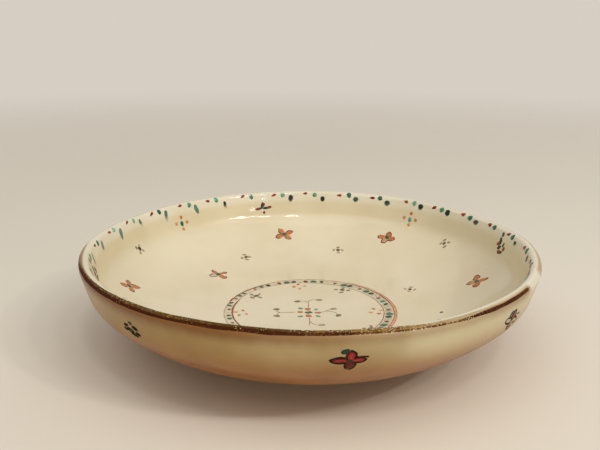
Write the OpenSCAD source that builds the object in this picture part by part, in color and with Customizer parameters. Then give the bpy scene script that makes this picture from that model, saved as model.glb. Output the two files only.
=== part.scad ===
// Hand-painted plate: a shallow thrown bowl on a turned foot ring, glazed inside and out,
// with an iron-brown lip and enamel flowers, sprigs and dabs.
// Millimetres, +Z up. The origin is the middle of the foot's resting face.
// Directions round the plate are degrees counter-clockwise from +X, and the front is -Y.
// A slope is measured from upright: 0 is a sheer wall, 90 is a level floor.

/* [Bowl] */
// Outside diameter over the lip
rim_d = 210; // [190:1:240]
// Height from the resting face to the crest of the lip
height = 48; // [45:0.5:58]
// Thickness of the wall, glaze included
wall_t = 4.8; // [4:0.1:6]
// Slope of the straight wall under the lip
wall_slope = 15; // [9:1:21]
// Length of the straight wall under the lip
wall_len = 9.5; // [7:0.5:13]
// Outside radius of the shoulder
shoulder_r = 16; // [12:0.5:21]
// Slope where the shoulder meets the belly
shoulder_slope = 45; // [40:1:50]
// Outside radius of the belly
belly_r = 68; // [60:1:76]
// Slope where the belly meets the floor
floor_slope = 84; // [82:0.5:86]

/* [Foot] */
// Outside diameter of the resting face
foot_d = 98; // [86:1:108]
// Width of the resting face
foot_w = 4.5; // [3:0.5:7]
// Draft of the two sides, from upright
foot_draft = 8; // [2:1:12]
// Bevel turned on both edges of the resting face
foot_bevel = 0.8; // [0.4:0.1:1.2]

/* [Coats] */
// Thickness of the glaze
glaze_t = 0.4; // [0.2:0.05:0.6]
// Thickness of an enamel stroke
enamel_t = 0.25; // [0.15:0.05:0.4]
// Thickness of a thin colour wash
wash_t = 0.12; // [0.08:0.02:0.2]

/* [Lip] */
// Start of the iron line on the lip's round, up from its outer side
lip_line_from = 22; // [10:1:35]
// End of the iron line, where the wash takes over
lip_line_to = 62; // [50:1:75]
// End of the iron wash, over the crest
lip_wash_to = 122; // [100:1:126]
// Direction at which the iron wash starts
lip_wash_start = 168; // [120:1:190]
// Sweep of the iron wash round the plate
lip_wash_sweep = 136; // [60:1:180]

/* [Rim border] */
// Number of red, green and dark groups
rim_groups = 31; // [20:1:34]
// Direction of the first group
rim_start = 91; // [0:1:360]
// Depth below the crest at which the red and green dabs start
rim_drop = 0.9; // [0.8:0.1:1.6]
// Depth below the crest at which the dark dabs start
rim_dark_drop = 2; // [1.4:0.1:2.6]
// Length of a red dab, along the lip
rim_red_len = 3.2; // [2:0.1:4]
// Length of a green dab, along the lip
rim_green_len = 3.6; // [2:0.1:4.2]
// Length of a dark dab, down the wall
rim_dark_len = 4.4; // [3:0.1:5.4]
// Width of a border dab for its length
rim_dab_share = 0.62; // [0.45:0.01:0.75]

/* [Medallion] */
// Outside radius of the outer ring line
medallion_r = 42; // [39:0.2:45]
// Width of a ring line
ring_line_w = 0.8; // [0.4:0.1:1.2]
// Width of the wash between the lines
ring_wash_w = 4.2; // [3.6:0.1:5.4]
// Number of groups of dabs on the wash
ring_groups = 16; // [10:1:18]
// Direction of the first group of dabs
ring_start = 92; // [0:1:360]
// Length of a dab on the wash
ring_dab_len = 3.2; // [2:0.1:3.6]
// Width of a dab on the wash for its length
ring_dab_share = 0.75; // [0.5:0.01:0.85]
// Size of a sprig inside the ring for that of one in the well
ring_sprig_scale = 1.25; // [1:0.05:1.3]

/* [Centre flower] */
// Diameter of the heart
centre_heart_d = 3; // [2:0.1:4]
// Length of a petal
centre_petal_len = 3.4; // [2.4:0.1:4.4]
// Length of a leaf
centre_leaf_len = 2.8; // [2:0.1:3.6]
// Length of a stem
centre_stem_len = 7.5; // [5:0.1:9]
// Radius of a tendril
tendril_r = 2.6; // [2:0.1:3]
// Length of a bud
bud_len = 2.8; // [2:0.1:3.4]

/* [Flowers and sprigs] */
// Diameter of a flower's heart
heart_d = 2.4; // [1.6:0.1:2.8]
// Length of a flower's petal in the well
petal_len = 4; // [3:0.1:5]
// Length of a flower's petal on the outside
outside_petal_len = 4.8; // [3:0.1:5.5]
// Width of a petal for its length
petal_share = 0.64; // [0.4:0.02:0.7]
// Length of an outside flower's upright petals for that of its level ones
outside_squash = 0.5; // [0.4:0.05:0.8]
// Width of a drawn outline
outline_w = 0.4; // [0.2:0.05:0.6]
// Diameter of a sprig's heart
sprig_heart_d = 2; // [1.4:0.1:2.6]
// Diameter of a sprig's dot
sprig_dot_d = 1.5; // [0.9:0.1:1.7]
// Size of a sprig on the inside wall for that of one in the well
wall_sprig_scale = 1.4; // [1:0.05:1.5]
// Size of a flower on the inside wall for that of one in the well
wall_flower_scale = 0.6; // [0.5:0.05:0.7]
// Depth of the dark flowers on the inside wall below the crest
wall_flower_drop = 8.6; // [8.6:0.1:10]
// Depth of the outside flowers below the crest
outside_drop = 11.2; // [9.5:0.1:12]

/* [Hidden] */
$fn = 128;

// Places of the scattered motifs: direction, share of the way from medallion to shoulder, turn.
well_flowers = [[8, 0.8, 0], [59, 0.88, 20], [100, 0.84, 45], [140, 0.42, 50],
                [182, 0.84, 15], [226, 0.44, 40], [268, 0.84, 10], [314, 0.8, 35]];
well_sprigs = [[25, 0.3, 40], [36, 0.96, 30], [77, 0.64, 10], [120, 0.58, 0], [160, 1, 50],
               [203, 0.6, 20], [246, 0.92, 45], [291, 0.5, 10], [338, 0.56, 30]];
// Directions of the motifs on the inside wall.
wall_flower_dirs = [12, 107, 194, 285];
wall_sprig_dirs = [53, 138, 235, 325];
// Directions of the flowers on the outside.
outside_dirs = [5, 50, 95, 140, 185, 230, 278, 320];
// Directions of the orange and of the dark sprigs inside the ring.
ring_orange_dirs = [0, 99, 187, 270];
ring_dark_dirs = [58, 146, 234, 324];

// Largest gap between a round stretch of the section and its chords.
chord_gap = rim_d / 5250;
// Half the depth of the cutter that lifts a stroke out of the enamel skin.
cut_reach = 3;
// Space left between neighbouring strokes.
stroke_gap = 0.3;
// Turn of a tendril about its centre, and the direction at which it ends.
tendril_turn = 126;
tendril_end = 30;

// Point on a round stretch, at the place where its slope is q.
function at_slope(c, r, q) = c + r * [cos(q), -sin(q)];
// Direction along the section, down a surface of slope q.
function downhill(q) = [-sin(q), -cos(q)];
// Steps that keep a sweep's chords within chord_gap.
function steps(r, sweep) = ceil(abs(sweep) / (2 * acos(1 - chord_gap / r)));
// Points of a sweep from slope q0 to slope q1, without its first point.
function sweep(c, r, q0, q1, n) = [for (i = [1:n]) at_slope(c, r, q0 + (q1 - q0) * i / n)];
function reversed(v) = [for (i = [len(v) - 1:-1:0]) v[i]];
// Small steady wander of a hand from stroke to stroke, between -1 and 1.
function wander(i) = sin(137 * i + 40);

// The outside of the section as tangent stretches, from the lip down to the axis.
lip_r = wall_t / 2;
lip_c = [rim_d / 2 - lip_r, height - lip_r];
wall_top = at_slope(lip_c, lip_r, wall_slope);
wall_foot = wall_top + wall_len * downhill(wall_slope);
shoulder_c = at_slope(wall_foot, -shoulder_r, wall_slope);
shoulder_foot = at_slope(shoulder_c, shoulder_r, shoulder_slope);
belly_c = at_slope(shoulder_foot, -belly_r, shoulder_slope);
belly_foot = at_slope(belly_c, belly_r, floor_slope);
floor_r = belly_foot[0] / cos(floor_slope);
floor_c = at_slope(belly_foot, -floor_r, floor_slope);

floor_steps = steps(floor_r, 90 - floor_slope);
belly_steps = steps(belly_r, floor_slope - shoulder_slope);
shoulder_steps = steps(shoulder_r, shoulder_slope - wall_slope);
lip_steps = steps(lip_r, 90 + wall_slope);

// Section line from the axis to the foot of the wall, this deep under the outer surface.
function bowl_line(inset) = concat(
  [at_slope(floor_c, floor_r - inset, 90)],
  sweep(floor_c, floor_r - inset, 90, floor_slope, floor_steps),
  sweep(belly_c, belly_r - inset, floor_slope, shoulder_slope, belly_steps),
  sweep(shoulder_c, shoulder_r - inset, shoulder_slope, wall_slope, shoulder_steps)
);
// The lip's round from the wall to the crest, at this height over the clay.
function lip_line(over, q0, q1) = concat(
  [at_slope(lip_c, lip_r - glaze_t + over, q0)],
  sweep(lip_c, lip_r - glaze_t + over, q0, q1, lip_steps)
);
// Both faces of the plate from the axis to the crest, at this height over the clay.
function outside_line(over) = concat(
  bowl_line(glaze_t - over), lip_line(over, wall_slope, -90));
function inside_line(over) = concat(
  bowl_line(wall_t - glaze_t + over), lip_line(over, wall_slope + 180, 270));

// Slope and height of the glazed inside, at a distance from the axis.
well_floor_r = floor_r - wall_t;
well_belly_r = belly_r - wall_t;
well_shoulder_r = shoulder_r - wall_t;
floor_edge = well_floor_r * cos(floor_slope);
belly_edge = belly_c[0] + well_belly_r * cos(shoulder_slope);
function well_slope(r) =
  r < floor_edge ? acos(r / well_floor_r) :
  r < belly_edge ? acos((r - belly_c[0]) / well_belly_r) :
  acos((r - shoulder_c[0]) / well_shoulder_r);
function well_z(r) =
  r < floor_edge ? floor_c[1] - well_floor_r * sin(well_slope(r)) :
  r < belly_edge ? belly_c[1] - well_belly_r * sin(well_slope(r)) :
  shoulder_c[1] - well_shoulder_r * sin(well_slope(r));
// Distance from the axis, this share of the way from the medallion to the shoulder.
function well_r(share) = medallion_r + share * (belly_edge - medallion_r);

// Point on the straight wall this far below the crest, on the outside or the inside.
function on_wall(top, drop) =
  top + (drop - height + top[1]) / cos(wall_slope) * downhill(wall_slope);
inside_wall_top = at_slope(lip_c, -lip_r, wall_slope);

// Radii of the medallion's rings, from the outside in.
wash_outer_r = medallion_r - ring_line_w;
wash_inner_r = wash_outer_r - ring_wash_w;
medallion_inner_r = wash_inner_r - ring_line_w;
wash_middle_r = (wash_outer_r + wash_inner_r) / 2;

// Distances of the motifs' parts from the motifs' middles.
sprig_dot_at = sprig_heart_d / 2 + sprig_dot_d / 2 + 2 * stroke_gap;
sprig_reach = sprig_dot_at + sprig_dot_d / 2;
wall_petal_len = petal_len * wall_flower_scale;
wall_flower_reach = heart_d / 2 + stroke_gap + wall_petal_len + 2 * outline_w;
wall_sprig_drop = rim_dark_drop + rim_dark_len + stroke_gap + sprig_reach * wall_sprig_scale;
ring_sprig_r = medallion_inner_r - sprig_reach * ring_sprig_scale - stroke_gap;
centre_petal_at = centre_heart_d / 2 + stroke_gap + centre_petal_len / 2;
centre_stem_at = centre_petal_at + centre_petal_len / 2 + stroke_gap;
tendril_at = centre_stem_at + centre_stem_len;
centre_leaf_at = centre_petal_at + centre_leaf_len;

// The solid left by turning a coat between two heights over the clay.
module inside_coat(from, to)
  rotate_extrude() polygon(concat(inside_line(from), reversed(inside_line(to))));
module outside_section(from, to)
  polygon(concat(outside_line(from), reversed(outside_line(to))));

// The lip's round from wall to wall, over the crest.
function lip_round(over) = concat(
  lip_line(over, wall_slope, -90), reversed(lip_line(over, wall_slope + 180, 270)));
module lip_section(from, to) polygon(concat(lip_round(from), reversed(lip_round(to))));

// Wedge of the lip's round between two angles up from its outer side.
module lip_wedge(from, to) {
  far = 4 * wall_t;
  polygon([
    lip_c,
    at_slope(lip_c, far, -from),
    at_slope(lip_c, far, -(from + to) / 2),
    at_slope(lip_c, far, -to)
  ]);
}

// Ring of the inside skin between two distances from the axis.
module inside_ring(r0, r1, from, to)
  rotate_extrude() intersection() {
    polygon(concat(inside_line(from), reversed(inside_line(to))));
    translate([r0, 0]) square([r1 - r0, height]);
  }

// Foot section, run up past the underside of the bowl.
module foot_section() {
  side = foot_bevel + (height - foot_bevel) / 2 * tan(foot_draft);
  polygon([
    [foot_d / 2 - foot_w, 0],
    [foot_d / 2, 0],
    [foot_d / 2 + foot_bevel, foot_bevel],
    [foot_d / 2 + side, (height + foot_bevel) / 2],
    [foot_d / 2 - foot_w - side, (height + foot_bevel) / 2],
    [foot_d / 2 - foot_w - foot_bevel, foot_bevel]
  ]);
}

// Strokes are drawn flat: x runs up the slope, y runs round the plate.
// Each is a ring of a few points, because a brush mark is only a few millimetres long.
stroke_step = 45;
// Loaded brush dab, long along x.
module dab(long, wide)
  polygon([for (a = [0:stroke_step:359]) [long / 2 * cos(a), wide / 2 * sin(a)]]);
// Round dot.
module dot(d) dab(d, d);
// Leaf that draws out to a point at both ends, long along x.
function leaf_edge(long, wide, a) =
  [long / 2 * cos(a), wide / 2 * sin(a) * pow(abs(sin(a)), 0.4)];
module leaf(long, wide)
  polygon([for (a = [0:stroke_step:359]) leaf_edge(long, wide, a)]);
// Line drawn round the outer tip of a leaf.
module leaf_outline(long, wide)
  polygon(concat(
    [for (a = [-60:60:60]) leaf_edge(long + 3 * outline_w, wide + 2 * outline_w, a)],
    [for (a = [60:-60:-60]) leaf_edge(long, wide, a)]
  ));
// Curved line about a centre, between two directions, or its mirror image over x.
module arc_line(r, wide, a0, a1, side = 1) {
  n = ceil((a1 - a0) / stroke_step);
  from = side > 0 ? a0 : -a1;
  turns = [for (i = [0:n]) from + (a1 - a0) * i / n];
  polygon(concat(
    [for (a = turns) (r + wide / 2) * [cos(a), sin(a)]],
    [for (a = reversed(turns)) (r - wide / 2) * [cos(a), sin(a)]]
  ));
}
// Four copies round a middle, the first turned to this direction.
module four(turn, out)
  for (i = [0:3]) rotate(turn + 90 * i) translate([out, 0]) children();

// Stand a flat drawing as a cutter on the inside, the inside wall or the outside wall.
module cutter() linear_extrude(height = 2 * cut_reach, center = true) children();
module on_well(dir, r)
  rotate(dir) translate([r, 0, well_z(r)]) rotate([0, well_slope(r) - 90, 0]) cutter() children();
module on_inside_wall(dir, drop) {
  p = on_wall(inside_wall_top, drop);
  rotate(dir) translate([p[0], 0, p[1]]) rotate([0, wall_slope - 90, 0]) cutter() children();
}
module on_outside_wall(dir, drop) {
  p = on_wall(wall_top, drop);
  rotate(dir) translate([p[0], 0, p[1]]) rotate([0, wall_slope + 90, 0]) cutter() children();
}

// Lift strokes out of the enamel skin on the inside, on the wash or on the outside.
module inside_enamel()
  intersection() {
    inside_coat(glaze_t, glaze_t + enamel_t);
    union() children();
  }
module wash_enamel()
  intersection() {
    inside_ring(wash_inner_r, wash_outer_r, glaze_t + wash_t, glaze_t + wash_t + enamel_t);
    union() children();
  }
module outside_enamel()
  intersection() {
    rotate_extrude() outside_section(glaze_t, glaze_t + enamel_t);
    union() children();
  }

// Layouts that several nodes share.
function rim_dir(i, share) = rim_start + 360 / rim_groups * (i - share + 0.05 * wander(i));
module rim_border(share, drop, dirs = [0:rim_groups - 1])
  for (i = dirs)
    on_inside_wall(rim_dir(i, share), drop) rotate(12 * wander(i + share * 10)) children();
// The border's dark dabs, without those that would run into a flower on the wall.
dark_share = 0.5;
wall_flower_room = asin((wall_flower_reach + rim_dark_len / 2) / inside_wall_top[0]);
function clear_of_flowers(dir) =
  max([for (f = wall_flower_dirs) cos(dir - f)]) < cos(wall_flower_room);
dark_dirs = [for (i = [0:rim_groups - 1]) if (clear_of_flowers(rim_dir(i, dark_share))) i];
module ring_border(share)
  for (i = [0:ring_groups - 1])
    on_well(ring_start + 360 / ring_groups * (i - share + 0.04 * wander(i)), wash_middle_r)
      rotate(90 + 20 * wander(i + share * 10)) children();
module ring_sprig_places(dirs)
  for (i = [0:len(dirs) - 1])
    on_well(dirs[i], ring_sprig_r) rotate(30 * wander(i)) children();
module well_flower_places()
  for (p = well_flowers) on_well(p[0], well_r(p[1])) rotate(p[2]) children();
module well_sprig_places()
  for (p = well_sprigs) on_well(p[0], well_r(p[1])) rotate(p[2]) children();
module wall_flower_places()
  for (dir = wall_flower_dirs) on_inside_wall(dir, wall_flower_drop) children();
module wall_sprig_places()
  for (dir = wall_sprig_dirs) on_inside_wall(dir, wall_sprig_drop) children();
module outside_places()
  for (dir = outside_dirs) on_outside_wall(dir, outside_drop) children();

// Flower and sprig parts, about a motif's middle. A squash shortens the petals along x.
module petal_places(long, squash)
  for (i = [0:3]) {
    $petal_len = i % 2 == 0 ? long * squash : long;
    rotate(90 * i) translate([heart_d / 2 + stroke_gap + $petal_len / 2, 0]) children();
  }
module flower_petals(long, squash = 1)
  petal_places(long, squash) leaf($petal_len, long * petal_share);
module flower_outlines(long, squash = 1)
  petal_places(long, squash) leaf_outline($petal_len, long * petal_share);
module sprig_dots(size = 1) four(0, sprig_dot_at * size) dot(sprig_dot_d * size);

// The thrown bowl.
module clay_body()
  color("#c9b38c") rotate_extrude()
    polygon(concat(outside_line(0), reversed(inside_line(0))));

// The turned foot, luted on under the bowl.
module foot_ring()
  color("#a9835a") rotate_extrude() difference() {
    foot_section();
    polygon(concat(outside_line(0), [[0, height]]));
  }

// Cream glaze over the inside, to the crest of the lip.
module inner_glaze() color("#e3d2a6") inside_coat(0, glaze_t);

// Cream glaze over the outside, from the crest of the lip to the foot.
module outer_glaze()
  color("#d9c596") rotate_extrude() difference() {
    outside_section(0, glaze_t);
    foot_section();
    square([foot_d / 2 - foot_w / 2, height]);
  }

// Cream glaze inside the foot ring.
module base_glaze()
  color("#d9c596") rotate_extrude() difference() {
    outside_section(0, glaze_t);
    foot_section();
    translate([foot_d / 2 - foot_w / 2, 0]) square([rim_d, height]);
  }

// Iron-brown line round the outer edge of the lip.
module lip_iron_line()
  color("#3c1a0b") rotate_extrude() intersection() {
    lip_section(glaze_t, glaze_t + wash_t);
    lip_wedge(lip_line_from, lip_line_to);
  }

// Iron wash over the crest, round the front left of the plate.
module lip_iron_wash()
  color("#6b3d17") rotate(lip_wash_start) rotate_extrude(angle = lip_wash_sweep) intersection() {
    lip_section(glaze_t, glaze_t + wash_t);
    lip_wedge(lip_line_to, lip_wash_to);
  }

// Repeated dabs under the lip.
module rim_red_dabs()
  color("#9c3a22") inside_enamel()
    rim_border(0, rim_drop + rim_red_len * rim_dab_share / 2)
      dab(rim_red_len * rim_dab_share, rim_red_len);
module rim_green_dabs()
  color("#1f7d59") inside_enamel()
    rim_border(0.26, rim_drop + rim_green_len * rim_dab_share / 2)
      dab(rim_green_len * rim_dab_share, rim_green_len);
module rim_dark_dabs()
  color("#3c4633") inside_enamel()
    rim_border(dark_share, rim_dark_drop + rim_dark_len / 2, dark_dirs)
      dab(rim_dark_len, rim_dark_len * rim_dab_share);

// Two red ring lines with a grey wash between them.
module medallion_outer_line()
  color("#b0492e") inside_ring(wash_outer_r, medallion_r, glaze_t, glaze_t + enamel_t);
module medallion_wash()
  color("#b9b79a") inside_ring(wash_inner_r, wash_outer_r, glaze_t, glaze_t + wash_t);
module medallion_inner_line()
  color("#b0492e") inside_ring(medallion_inner_r, wash_inner_r, glaze_t, glaze_t + enamel_t);

// Dabs on the wash.
module medallion_red_dabs()
  color("#c2502f") wash_enamel() ring_border(0) dab(ring_dab_len, ring_dab_len * ring_dab_share);
module medallion_green_dabs()
  color("#2f9069") wash_enamel() ring_border(0.3) dab(ring_dab_len, ring_dab_len * ring_dab_share);
module medallion_dark_dabs()
  color("#4a5a44") wash_enamel() ring_border(0.55) dab(ring_dab_len, ring_dab_len * ring_dab_share);

// Sprigs inside the ring: orange dots, and dark hearts with grey dots between them.
module medallion_orange_dots()
  color("#cf7a45") inside_enamel() ring_sprig_places(ring_orange_dirs) sprig_dots(ring_sprig_scale);
module medallion_dark_hearts()
  color("#7d3a2c") inside_enamel() ring_sprig_places(ring_dark_dirs) dot(sprig_heart_d * ring_sprig_scale);
module medallion_grey_dots()
  color("#7d8f78") inside_enamel() ring_sprig_places(ring_dark_dirs) sprig_dots(ring_sprig_scale);

// The middle flower: heart, petals, leaves between them, and forked stems with buds.
module centre_heart()
  color("#1f7d59") inside_enamel() on_well(0, 0) dot(centre_heart_d);
module centre_petals()
  color("#c2502f") inside_enamel() on_well(0, 0)
    four(0, centre_petal_at) leaf(centre_petal_len, centre_petal_len * petal_share);
module centre_leaves()
  color("#2f9069") inside_enamel() on_well(0, 0)
    four(45, centre_leaf_at) leaf(centre_leaf_len, centre_leaf_len * petal_share);
module centre_stems()
  color("#6b3d17") inside_enamel() on_well(0, 0) four(0, 0) {
    translate([centre_stem_at, -outline_w])
      square([centre_stem_len + outline_w, 2 * outline_w]);
    for (side = [-1, 1])
      translate([tendril_at, side * tendril_r])
        arc_line(tendril_r, 2 * outline_w, tendril_end - tendril_turn, tendril_end, side);
  }
module centre_buds()
  color("#7f7a5c") inside_enamel() on_well(0, 0) four(0, 0)
    for (side = [-1, 1])
      translate([tendril_at + tendril_r * cos(tendril_end),
                 side * (tendril_r * (1 + sin(tendril_end)) + stroke_gap)])
        rotate(side * (90 + tendril_end)) translate([bud_len / 2, 0])
          leaf(bud_len, bud_len * petal_share);

// Flowers scattered over the well.
module well_flower_petals()
  color("#cf6f45") inside_enamel() well_flower_places() flower_petals(petal_len);
module well_flower_outlines()
  color("#4a3a2a") inside_enamel() well_flower_places() flower_outlines(petal_len);
module well_flower_hearts()
  color("#1f7d59") inside_enamel() well_flower_places() dot(heart_d);

// Small dark sprigs between the flowers.
module well_sprig_hearts()
  color("#5a4030") inside_enamel() well_sprig_places() dot(sprig_heart_d);
module well_sprig_dots()
  color("#7d8066") inside_enamel() well_sprig_places() sprig_dots();

// Flowers and sprigs high on the inside wall.
module wall_flower_petals()
  color("#6b2f22") inside_enamel() wall_flower_places() flower_petals(wall_petal_len);
module wall_flower_outlines()
  color("#4a5a44") inside_enamel() wall_flower_places() flower_outlines(wall_petal_len);
module wall_sprig_hearts()
  color("#2f9069") inside_enamel() wall_sprig_places() dot(sprig_heart_d * wall_sprig_scale);
module wall_sprig_dots()
  color("#c98a5f") inside_enamel() wall_sprig_places() sprig_dots(wall_sprig_scale);

// Flowers round the outside, each with a green leaf.
module outside_flower_petals()
  color("#a32a1c") outside_enamel() outside_places()
    flower_petals(outside_petal_len, outside_squash);
module outside_flower_outlines()
  color("#3a2318") outside_enamel() outside_places()
    flower_outlines(outside_petal_len, outside_squash);
module outside_flower_hearts()
  color("#3a2318") outside_enamel() outside_places() dot(heart_d);
module outside_flower_leaves()
  color("#2c4a3a") outside_enamel() outside_places()
    rotate(225) translate([outside_petal_len, 0])
      leaf(outside_petal_len * 0.6, outside_petal_len * 0.34);

clay_body();
foot_ring();
inner_glaze();
outer_glaze();
base_glaze();
lip_iron_line();
lip_iron_wash();
rim_red_dabs();
rim_green_dabs();
rim_dark_dabs();
medallion_outer_line();
medallion_wash();
medallion_inner_line();
medallion_red_dabs();
medallion_green_dabs();
medallion_dark_dabs();
medallion_orange_dots();
medallion_dark_hearts();
medallion_grey_dots();
centre_heart();
centre_petals();
centre_leaves();
centre_stems();
centre_buds();
well_flower_petals();
well_flower_outlines();
well_flower_hearts();
well_sprig_hearts();
well_sprig_dots();
wall_flower_petals();
wall_flower_outlines();
wall_sprig_hearts();
wall_sprig_dots();
outside_flower_petals();
outside_flower_outlines();
outside_flower_hearts();
outside_flower_leaves();
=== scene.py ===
from math import asin, atan2, cos, hypot, pi, radians, sin

import bmesh
import bpy
from mathutils import Matrix, Vector
from mathutils.bvhtree import BVHTree
from mathutils.noise import noise


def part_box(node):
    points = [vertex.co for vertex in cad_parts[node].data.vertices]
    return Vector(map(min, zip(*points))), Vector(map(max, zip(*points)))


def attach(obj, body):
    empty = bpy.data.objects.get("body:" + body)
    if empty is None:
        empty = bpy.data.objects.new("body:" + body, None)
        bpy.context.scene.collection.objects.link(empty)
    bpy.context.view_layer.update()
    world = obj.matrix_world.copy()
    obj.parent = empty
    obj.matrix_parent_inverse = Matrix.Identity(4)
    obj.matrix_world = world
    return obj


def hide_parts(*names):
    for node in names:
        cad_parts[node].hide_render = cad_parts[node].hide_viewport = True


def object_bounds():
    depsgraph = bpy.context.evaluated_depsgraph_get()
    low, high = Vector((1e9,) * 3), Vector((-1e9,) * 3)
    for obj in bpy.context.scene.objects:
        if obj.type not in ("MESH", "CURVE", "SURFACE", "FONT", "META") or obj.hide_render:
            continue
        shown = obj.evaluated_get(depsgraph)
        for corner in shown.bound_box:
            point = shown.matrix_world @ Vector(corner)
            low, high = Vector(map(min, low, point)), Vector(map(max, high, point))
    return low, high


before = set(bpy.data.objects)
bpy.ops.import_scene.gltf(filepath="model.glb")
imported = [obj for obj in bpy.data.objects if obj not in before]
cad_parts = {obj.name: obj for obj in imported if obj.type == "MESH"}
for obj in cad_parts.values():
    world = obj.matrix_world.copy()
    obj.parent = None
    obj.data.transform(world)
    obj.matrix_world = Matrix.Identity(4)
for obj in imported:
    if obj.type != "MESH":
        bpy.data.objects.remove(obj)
cad_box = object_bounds()


# Clay bowl
# The plate is thrown on the wheel from one lump of buff clay, about 4 mm thick. Every face of it
# lies under glaze, so the clay only carries the coats, and shows bare at the foot.
mm = 0.001
same_spot, on_plane = 1e-6, 1e-7


def half_section(*nodes):
    """The line where a half plane through the axis cuts turned CAD nodes, without the seams they share."""
    cut = bmesh.new()
    for node in nodes:
        cut.from_mesh(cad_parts[node].data)
    bmesh.ops.remove_doubles(cut, verts=cut.verts, dist=same_spot)
    bmesh.ops.bisect_plane(cut, geom=cut.verts[:] + cut.edges[:] + cut.faces[:], dist=on_plane,
                           plane_co=(0, 0, 0), plane_no=(0, 1, 0), clear_inner=True, clear_outer=True)
    bmesh.ops.bisect_plane(cut, geom=cut.verts[:] + cut.edges[:], dist=on_plane,
                           plane_co=(0, 0, 0), plane_no=(1, 0, 0), clear_inner=True)
    bmesh.ops.dissolve_limit(cut, angle_limit=radians(0.6), verts=cut.verts, edges=cut.edges)
    seams = [e for e in cut.edges if all(len(v.link_edges) > 2 for v in e.verts)]
    bmesh.ops.delete(cut, geom=seams, context="EDGES")
    return cut


def swell(turn, *stops):
    """A hand's slow change round the plate: values at directions in degrees, joined smoothly."""
    turn = turn % 360
    for (t0, v0), (t1, v1) in zip(stops, stops[1:]):
        if t0 <= turn <= t1:
            share = (turn - t0) / (t1 - t0)
            share = share * share * (3 - 2 * share)
            return v0 + (v1 - v0) * share
    return stops[-1][1]


def rim_sag(turn):
    """How far the rim sank in the kiln, or rose, in metres, at a direction in degrees."""
    return mm * swell(turn, (0, 0.1), (12, 1.0), (25, 1.1), (38, 1.0), (55, 0), (80, 0), (118, 0.2),
                      (130, 0.4), (155, 1.05), (168, 0.65), (180, 0), (238, 0), (250, -0.4), (258, -0.6),
                      (264, -0.45), (270, -0.25), (278, -0.15), (284, 0.05), (290, 0.4), (302, 0.5),
                      (308, 0.1), (314, 0), (360, 0.1))


def turn_on_wheel(section, steps):
    """Spin a section round the axis, then leave it as hands do: a little out of round and level."""
    wobble, warp = 0.0016, 0.00018
    bmesh.ops.spin(section, geom=section.verts[:] + section.edges[:], cent=(0, 0, 0), axis=(0, 0, 1),
                   dvec=(0, 0, 0), angle=2 * pi, steps=steps, use_merge=True)
    bmesh.ops.remove_doubles(section, verts=section.verts, dist=same_spot)
    bmesh.ops.recalc_face_normals(section, faces=section.faces)
    for v in section.verts:
        turn = atan2(v.co.y, v.co.x)
        up = (v.co.z / cad_box[1].z) ** 2
        out_of_round = wobble * up * (sin(2 * turn + 0.8) + 0.6 * sin(3 * turn + 2.1))
        v.co.x *= 1 + out_of_round
        v.co.y *= 1 + out_of_round
        v.co.z += up * (warp * (sin(2 * turn + 1.9) + 0.7 * sin(5 * turn)) - rim_sag(turn * 180 / pi))
    return section


def add_piece(name, bm, finish, slot, *nodes):
    """Make a bmesh a piece of the plate's one body, in place of its CAD nodes."""
    mesh = bpy.data.meshes.new(name)
    bm.to_mesh(mesh)
    bm.free()
    mesh.shade_smooth()
    mesh.materials.append(finish)
    piece = bpy.data.objects.new(name, mesh)
    bpy.context.scene.collection.objects.link(piece)
    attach(piece, "root")
    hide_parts(*nodes)
    return piece


def colour(red, green, blue):
    """A colour as the eye reads it, 0 to 255, as the shader takes it."""
    steps = [c / 255 for c in (red, green, blue)]
    return tuple(c / 12.92 if c < 0.04045 else ((c + 0.055) / 1.055) ** 2.4 for c in steps) + (1,)


class Tone:
    """A value in a finish's recipe: a socket that Python's operators work on."""

    def __init__(self, tree, socket=None):
        self.tree, self.socket = tree, socket

    def node(self, kind, settings, sockets, out=0):
        made = self.tree.nodes.new(kind)
        for key, value in settings.items():
            setattr(made, key, value)
        for key, value in sockets.items():
            if isinstance(value, Tone):
                self.tree.links.new(value.socket, made.inputs[key])
            else:
                made.inputs[key].default_value = value
        return Tone(self.tree, made.outputs[out])

    def math(self, operation, *values):
        return self.node("ShaderNodeMath", {"operation": operation}, dict(enumerate(values)))

    def __add__(self, other):
        return self.math("ADD", self, other)

    __radd__ = __add__

    def __sub__(self, other):
        return self.math("SUBTRACT", self, other)

    def __rsub__(self, other):
        return self.math("SUBTRACT", other, self)

    def __mul__(self, other):
        return self.math("MULTIPLY", self, other)

    __rmul__ = __mul__

    def ramp(self, low, high):
        """0 below low, 1 above high, and a smooth rise between them."""
        return self.node("ShaderNodeMapRange", {"interpolation_type": "SMOOTHSTEP"},
                         {"Value": self, "From Min": low, "From Max": high})

    def mix(self, none, full):
        """The first colour where this is 0, the second where it is 1."""
        return self.node("ShaderNodeMix", {"data_type": "RGBA"}, {0: self, 6: none, 7: full}, 2)

    def place(self):
        return self.node("ShaderNodeTexCoord", {}, {}, "Object")

    def painted(self, name):
        """A value that a stroke's points carry."""
        return self.node("ShaderNodeAttribute", {"attribute_name": name}, {}, "Fac")

    def cloud(self, scale, detail=2.0, at=None):
        return self.node("ShaderNodeTexNoise", {},
                         {"Vector": at or self.place(), "Scale": scale, "Detail": detail})

    def bump(self, strength, distance):
        return self.node("ShaderNodeBump", {},
                         {"Strength": strength, "Distance": distance, "Height": self})


def new_finish(name, roughness, coat=0.0):
    """A material with its shader, and the start of its recipe."""
    made = bpy.data.materials.new(name)
    made.use_nodes = True
    shader = made.node_tree.nodes["Principled BSDF"]
    shader.inputs["Roughness"].default_value = roughness
    shader.inputs["Coat Weight"].default_value = coat
    shader.inputs["Coat Roughness"].default_value = 0.08
    return made, shader, Tone(made.node_tree)


def feed(shader, socket, tone):
    tone.tree.links.new(tone.socket, shader.inputs[socket])


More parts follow.
